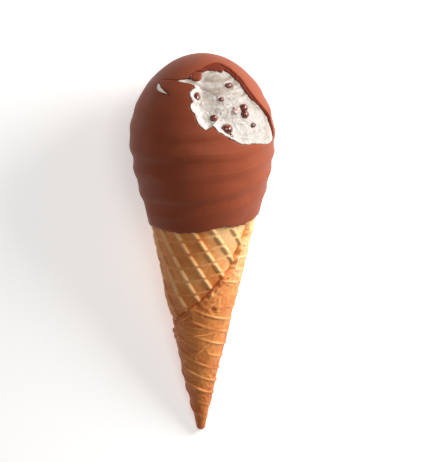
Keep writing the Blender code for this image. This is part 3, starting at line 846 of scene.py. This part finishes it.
def ice_rings():
    """The ice cream as rings from the bite's middle out over the ball and down into the cone."""
    columns, bite_rows, ball_rows = 460, 140, 34
    direction = bite_directions(columns)[None, :]
    edge, rim = bite_edge(direction), rim_reach(direction)
    share = np.linspace(0.004, 0.997, bite_rows)[:, None]
    reach = edge * share
    chart = BITE_MIDDLE + reach * np.exp(1j * direction)
    radius, height = ball_place(chart, COATING, DIP_HEIGHT)
    places = upright(radius, chart_turn(chart), height)
    depth = ice_depth(direction + 0 * reach, share + 0 * reach, places)
    spike = np.linalg.norm(places - bite_point(149.5, 0.362, COATING), axis=-1)
    depth = depth - 1.7 * np.exp(-((spike / 0.6) ** 2))
    for place, width, _ in pearl_seats():
        away = np.linalg.norm(places - place, axis=-1) / (width / 2)
        depth = depth - 0.22 * np.exp(-(((away - 1.25) / 0.3) ** 2)) + 0.5 * np.exp(-((away / 0.9) ** 4))
    radius, height = ball_place(chart, depth, DIP_HEIGHT)
    inside = upright(radius, chart_turn(chart), height)
    grown = np.linspace(0, 1, ball_rows)[:, None]
    bend = math.radians(74)
    reach = edge * 1.004 + (rim - edge * 1.004) * np.tan(bend * grown) / math.tan(bend)
    chart = BITE_MIDDLE + reach * np.exp(1j * direction)
    radius, height = ball_place(chart, COATING + ICE_UNDER + 0 * reach, MOUTH_HEIGHT + GAP)
    covered = upright(radius, chart_turn(chart), height)
    turn = chart_turn(chart[-1:])
    foot_height = np.linspace(MOUTH_HEIGHT, ICE_FOOT_HEIGHT, 8)[:, None]
    foot_radius = foot_height * SLOPE - SHEET / 2 - WALL - GAP
    foot = upright(foot_radius, turn + 0 * foot_height, foot_height)
    base = upright(foot_radius[-1:] * 0.5, turn, ICE_FOOT_HEIGHT)
    rings = np.concatenate([inside, covered, foot, base])
    squeezed = places * np.array((0.13, 0.13, 1))
    stripes = np.clip(0.45 + 0.8 * noise(squeezed, 1.2, 28) + 0.8 * noise(squeezed, 0.65, 34), 0, 1)
    # Painted shade: the upper part of the bite is greyer.
    upper = 0.12 + 0.88 * smooth(-10, 8, places[..., 2] - 158)
    scraped = upper * (0.15 + 0.85 * stripes) + 0.2 * noise(places, 3.0, 29)
    facing = np.degrees(chart_turn(BITE_MIDDLE + edge * share * np.exp(1j * direction)))
    scraped = scraped + 0.22 * smooth(20, 70, facing)
    scraped = np.clip(scraped, 0, 1) * (1 - smooth(0.88, 0.96, share))
    degrees = np.degrees(direction)
    rim_side = 1 - smooth(-115, -60, degrees) * (1 - smooth(135, 150, degrees))
    # Painted highlight: the outer part of the bite and its thin left rim are whiter.
    fresh = (0.25 * smooth(0.35, 0.8, share) + 0.6 * smooth(0.84, 0.95, share)) * rim_side
    rest = np.zeros((len(rings) - bite_rows, columns))
    return rings, np.concatenate([scraped, rest]), np.concatenate([fresh, rest])


# What is in the bite


def local_axes(place):
    """Unit vectors to the right, up and out at an upright point on the ball."""
    out = place - np.array((0, 0, BALL_HEIGHT))
    out = out / np.linalg.norm(out)
    right = np.cross((0, 0, 1), out)
    right = right / np.linalg.norm(right)
    return right, np.cross(out, right), out


def pearl_seats():
    """Where each pearl and pellet sits: (middle, width, height)."""
    seats = []
    for direction, reach, width, height, sunk in PEARLS + PELLET:
        depth = COATING + 0.55 + sunk
        seats.append((bite_point(direction, reach, depth), width, height))
    return seats


def rounded_lump(place, sizes, power, rough, seed, columns=40, rows=24):
    """A closed lump as rings: a superellipsoid, |x/a|^power + |y/b|^power + |z/c|^power = 1,
    set with its third size outwards and roughened by noise."""
    right, up, out = local_axes(place)
    polar = np.linspace(0.06, math.pi - 0.06, rows)[:, None]
    around = (np.arange(columns) / columns * FULL_TURN)[None, :]
    out_of_pole = np.sin(polar)
    unit = [out_of_pole * np.cos(around), out_of_pole * np.sin(around), np.cos(polar) + 0 * around]
    unit = np.stack(unit, -1)
    scale = (abs(unit) ** power).sum(-1) ** (-1 / power)
    scale = scale * (1 + rough * noise(unit * 3 + seed * 7.3, 1.6, seed))
    local = unit * scale[..., None] * np.array(sizes) / 2
    return place + local @ np.stack([right, up, out])


def sliver_rings():
    """The strip of ice cream that shows in the crescent: an ellipse carried along its line,
    widest near the upper end and closed to a point at both."""
    share = np.linspace(0.01, 0.99, 40)
    angles, reaches = np.array(CRESCENT).T
    direction = angles[0] + 1.5 + (angles[-1] - angles[0] - 1.5) * share
    reach = np.interp(direction, angles, reaches)
    path = np.array([bite_point(d, r, 0.15) for d, r in zip(direction, reach)])
    path = np.stack([np.convolve(np.pad(c, 4, "edge"), np.ones(9) / 9, "valid") for c in path.T], -1)
    width = 0.95 * np.sin(math.pi * share**0.72) ** 1.5
    along = np.gradient(path, axis=0)
    out = path - np.array((0, 0, BALL_HEIGHT))
    out = out / np.linalg.norm(out, axis=1)[:, None]
    side = np.cross(along, out)
    side = side / np.linalg.norm(side, axis=1)[:, None]
    around = (np.arange(16) / 16 * FULL_TURN)[None, :, None]
    wide = side[:, None] * np.cos(around) * width[:, None, None]
    high = out[:, None] * np.sin(around) * np.minimum(0.55, width)[:, None, None]
    return path[:, None] + wide + high


# Settings


def hue(name, description, hex_colour):
    """A colour setting, whose default is an sRGB hex colour."""
    default = linear(hex_colour)
    return FloatVectorProperty(name=name, description=description, subtype="COLOR", default=default)


class ChocolateSettings(bpy.types.PropertyGroup):
    """Coating and pearls."""

    colour: hue("Coating", "Skin of the milk chocolate", "#91482f")
    # The darker colour of the broken face is a painted shade.
    broken_shade_colour: hue("Broken edge", "Chocolate where it is broken", "#6e2c1b")
    pearl_colour: hue("Pearls", "Glazed dark chocolate", "#54231a")
    pellet_colour: hue("Pellet", "Cocoa nougat", "#8a6660")
    fold_depth: FloatProperty(
        name="Fold depth", description="Depth of the spiral fold", default=0.72 * MM, unit="LENGTH"
    )


class IceCreamSettings(bpy.types.PropertyGroup):
    """Vanilla ice cream."""

    colour: hue("Ice cream", "Fresh broken ice cream", "#c2bcb4")
    # Colour of the painted highlight at the crescent and the bite's left rim.
    fresh_colour: hue("Fresh", "Ice cream at a thin broken rim", "#fff1e8")
    # Grey of the scrape stripes, also used as painted shade in the upper part of the bite.
    scraped_colour: hue("Scraped", "Ice cream where it is scraped smooth", "#99897a")


class WaferSettings(bpy.types.PropertyGroup):
    """Waffle cone."""

    pale_colour: hue("Pale", "Thick, lightly baked wafer", "#f4c185")
    colour: hue("Golden", "Evenly baked wafer", "#ef9a50")
    brown_colour: hue("Brown", "Strongly baked wafer", "#cd7137")
    pocket_depth: FloatProperty(
        name="Pocket depth", description="Depth of the waffle's pockets", default=0.85 * MM, unit="LENGTH"
    )


class StageSettings(bpy.types.PropertyGroup):
    """Floor, lights and camera."""

    floor_colour: hue("Floor", "Background card", "#f5f3f0")
    floor_glow: FloatProperty(name="Floor glow", description="Light through the card", default=0.5, min=0)
    key_power: FloatProperty(name="Key light", description="Softbox at the right", default=2.25, unit="POWER")
    fill_power: FloatProperty(name="Fill light", description="Softbox above", default=0.55, unit="POWER")
    lens: FloatProperty(name="Lens", description="Focal length in mm", default=600.0, min=20)
    view_lean: FloatProperty(
        name="View lean", description="How far the view leans off straight down, towards the ball",
        default=math.radians(3.1), subtype="ANGLE",
    )
    view_roll: FloatProperty(
        name="View roll", description="Turn of the picture", default=math.radians(0.3), subtype="ANGLE"
    )
    view_width: FloatProperty(
        name="View size", description="How much of the floor the picture's long side shows",
        default=196.25 * MM, unit="LENGTH",
    )


# Operators

# How far the camera stands right of and above the object's middle (mm), and the pale surround's strength.
VIEW_RIGHT = 6.15
VIEW_UP = 5.5
SURROUND = 0.13


class CONE_OT_wafer(bpy.types.Operator):
    """Rolled waffle cone"""

    bl_idname = "ice_cream_cone.wafer"
    bl_label = "Waffle Cone"

    def execute(self, context):
        settings = context.scene.cone_wafer
        rings, browned = wafer_rings(settings)
        thing = skin("rolled_wafer", rings, baked_wafer(settings), capped=True, browned=browned)
        off = max(abs(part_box("waffle_cone")[0][k] - min(v[k] for v in thing.bound_box)) for k in range(3))
        if off > MOST_OFF * MM:
            raise ValueError(f"the wafer is {off / MM:.2f} mm off its solid")
        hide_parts("waffle_cone")
        return {"FINISHED"}


class CONE_OT_ice_cream(bpy.types.Operator):
    """Vanilla ice cream in the cone and the bite"""

    bl_idname = "ice_cream_cone.ice_cream"
    bl_label = "Ice Cream"

    def execute(self, context):
        material = vanilla_ice(context.scene.cone_ice_cream)
        rings, scraped, fresh = ice_rings()
        thing = skin("vanilla_ice_cream", rings, material, capped=True, scraped=scraped, fresh=fresh)
        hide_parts("ice_cream")
        rings = sliver_rings()
        # The crescent's sliver is whitened all over, a painted highlight.
        sliver = skin("ice_cream_in_crescent", rings, material, capped=True, fresh=np.ones(rings.shape[:2]))
        return {"FINISHED"}


class CONE_OT_coating(bpy.types.Operator):
    """Milk chocolate coating, bitten open"""

    bl_idname = "ice_cream_cone.coating"
    bl_label = "Coating"

    def execute(self, context):
        settings = context.scene.cone_chocolate
        material = milk_chocolate(settings)
        rings, broken = coating_rings(settings)
        thing = skin("milk_chocolate_coating", rings, material, broken=broken)
        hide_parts("chocolate_coating")
        direction, reach, width, height = TAB
        rings = rounded_lump(bite_point(direction, reach, 0.95), (width, height, 1.9), 3.2, 0.08, 31)
        # The tab is a little rougher and darker, the darkness a painted shade.
        tab = skin("chocolate_tab", rings, material, capped=True, broken=np.full(rings.shape[:2], 0.35))
        return {"FINISHED"}


class CONE_OT_pearls(bpy.types.Operator):
    """Chocolate pearls and a nougat pellet in the bite"""

    bl_idname = "ice_cream_cone.pearls"
    bl_label = "Pearls"

    def execute(self, context):
        settings = context.scene.cone_chocolate
        seats = pearl_seats()
        glazed, soft = dark_pearl(settings), nougat(settings)
        pearls = []
        for k, (place, width, height) in enumerate(seats[: len(PEARLS)]):
            rings = rounded_lump(place, (width, height, min(width, height)), 2.1, 0.06, 41 + k)
            pearls.append(skin(f"pearl_{k}", rings, glazed, capped=True))
        joined("chocolate_pearls", pearls)
        lumps = []
        for k, (place, width, height) in enumerate(seats[len(PEARLS) :]):
            rings = rounded_lump(place, (width, height, 2.0), 2.2, 0.16, 61 + k)
            lumps.append(skin(f"lump_{k}", rings, soft, capped=True))
        joined("nougat_pellet", lumps)
        return {"FINISHED"}


class CONE_OT_stage(bpy.types.Operator):
    """Floor, soft lights and camera"""

    bl_idname = "ice_cream_cone.stage"
    bl_label = "Stage"

    def execute(self, context):
        scene = context.scene
        settings = scene.cone_stage
        low, high = CAD_BOX
        middle = (low + high) / 2
        size = (high - low).length
        add_floor(scene, settings, middle, size, low.z)
        add_lights(scene, settings, middle, size)
        add_camera(scene, settings, middle)
        return {"FINISHED"}


def add_floor(scene, settings, middle, size, level):
    """A wide flat card at the level that the object rests on."""
    half = 12 * size
    square = ((-1, -1), (1, -1), (1, 1), (-1, 1))
    corners = [(x * half + middle.x, y * half + middle.y, level) for x, y in square]
    mesh = bpy.data.meshes.new("floor")
    mesh.from_pydata(corners, [], [(0, 1, 2, 3)])
    mesh.materials.append(matt_card(settings))
    floor = bpy.data.objects.new("floor", mesh)
    scene.collection.objects.link(floor)


def add_light(scene, name, power, width, place, target):
    """A square softbox at a place, facing the target."""
    light = bpy.data.lights.new(name, "AREA")
    light.energy = power
    light.size = width
    thing = bpy.data.objects.new(name, light)
    thing.location = place
    thing.rotation_euler = (target - place).to_track_quat("-Z", "Y").to_euler()
    scene.collection.objects.link(thing)


def add_lights(scene, settings, middle, size):
    """A large softbox low at the upper right, a weak one above, and a pale surround."""
    key = middle + Vector((0.82, 0.46, 0.42)).normalized() * 2.2 * size
    fill = middle + Vector((0.1, 0.3, 1)) * 2.6 * size
    add_light(scene, "key", settings.key_power, 1.3 * size, key, middle + Vector((0, 0.1, 0)) * size)
    add_light(scene, "fill", settings.fill_power, size, fill, middle)
    world = bpy.data.worlds.new("studio")
    world.use_nodes = True
    background = world.node_tree.nodes["Background"]
    background.inputs["Color"].default_value = (*linear("#fffaf5"), 1)
    background.inputs["Strength"].default_value = SURROUND
    scene.world = world
    scene.view_settings.view_transform = "Standard"


def add_camera(scene, settings, middle):
    """A long lens over the object, leaning towards the ball, with the object left of and under the middle."""
    data = bpy.data.cameras.new("camera")
    data.lens = settings.lens
    distance = settings.view_width * data.lens / data.sensor_width
    lean = settings.view_lean
    back = Vector((0, math.sin(lean), math.cos(lean)))
    up = Vector((0, math.cos(lean), -math.sin(lean)))
    right = Vector((1, 0, 0))
    turn = Matrix.Rotation(settings.view_roll, 3, back)
    up, right = turn @ up, turn @ right
    camera = bpy.data.objects.new("camera", data)
    place = middle + back * distance + right * VIEW_RIGHT * MM + up * VIEW_UP * MM
    camera.matrix_world = Matrix.Translation(place) @ Matrix((right, up, back)).transposed().to_4x4()
    scene.collection.objects.link(camera)
    scene.camera = camera


class CONE_PT_panel(bpy.types.Panel):
    """Lists the pieces and the stage"""

    bl_label = "Ice Cream Cone"
    bl_idname = "CONE_PT_panel"
    bl_space_type = "VIEW_3D"
    bl_region_type = "UI"
    bl_category = "Ice Cream"

    def draw(self, context):
        for operator in OPERATORS:
            self.layout.operator(operator.bl_idname)
        for group in ("cone_chocolate", "cone_ice_cream", "cone_wafer", "cone_stage"):
            box = self.layout.box()
            settings = getattr(context.scene, group)
            for key in settings.__annotations__:
                box.prop(settings, key)


OPERATORS = (CONE_OT_wafer, CONE_OT_ice_cream, CONE_OT_coating, CONE_OT_pearls, CONE_OT_stage)
SETTINGS = (ChocolateSettings, IceCreamSettings, WaferSettings, StageSettings)
CLASSES = (*SETTINGS, *OPERATORS, CONE_PT_panel)


def register():
    for item in CLASSES:
        bpy.utils.register_class(item)
    bpy.types.Scene.cone_chocolate = PointerProperty(type=ChocolateSettings)
    bpy.types.Scene.cone_ice_cream = PointerProperty(type=IceCreamSettings)
    bpy.types.Scene.cone_wafer = PointerProperty(type=WaferSettings)
    bpy.types.Scene.cone_stage = PointerProperty(type=StageSettings)


def unregister():
    for group in ("cone_chocolate", "cone_ice_cream", "cone_wafer", "cone_stage"):
        delattr(bpy.types.Scene, group)
    for item in reversed(CLASSES):
        bpy.utils.unregister_class(item)


def main():
    register()
    for operator in OPERATORS:
        group, name = operator.bl_idname.split(".")
        getattr(getattr(bpy.ops, group), name)()


if __name__ == "__main__":
    main()
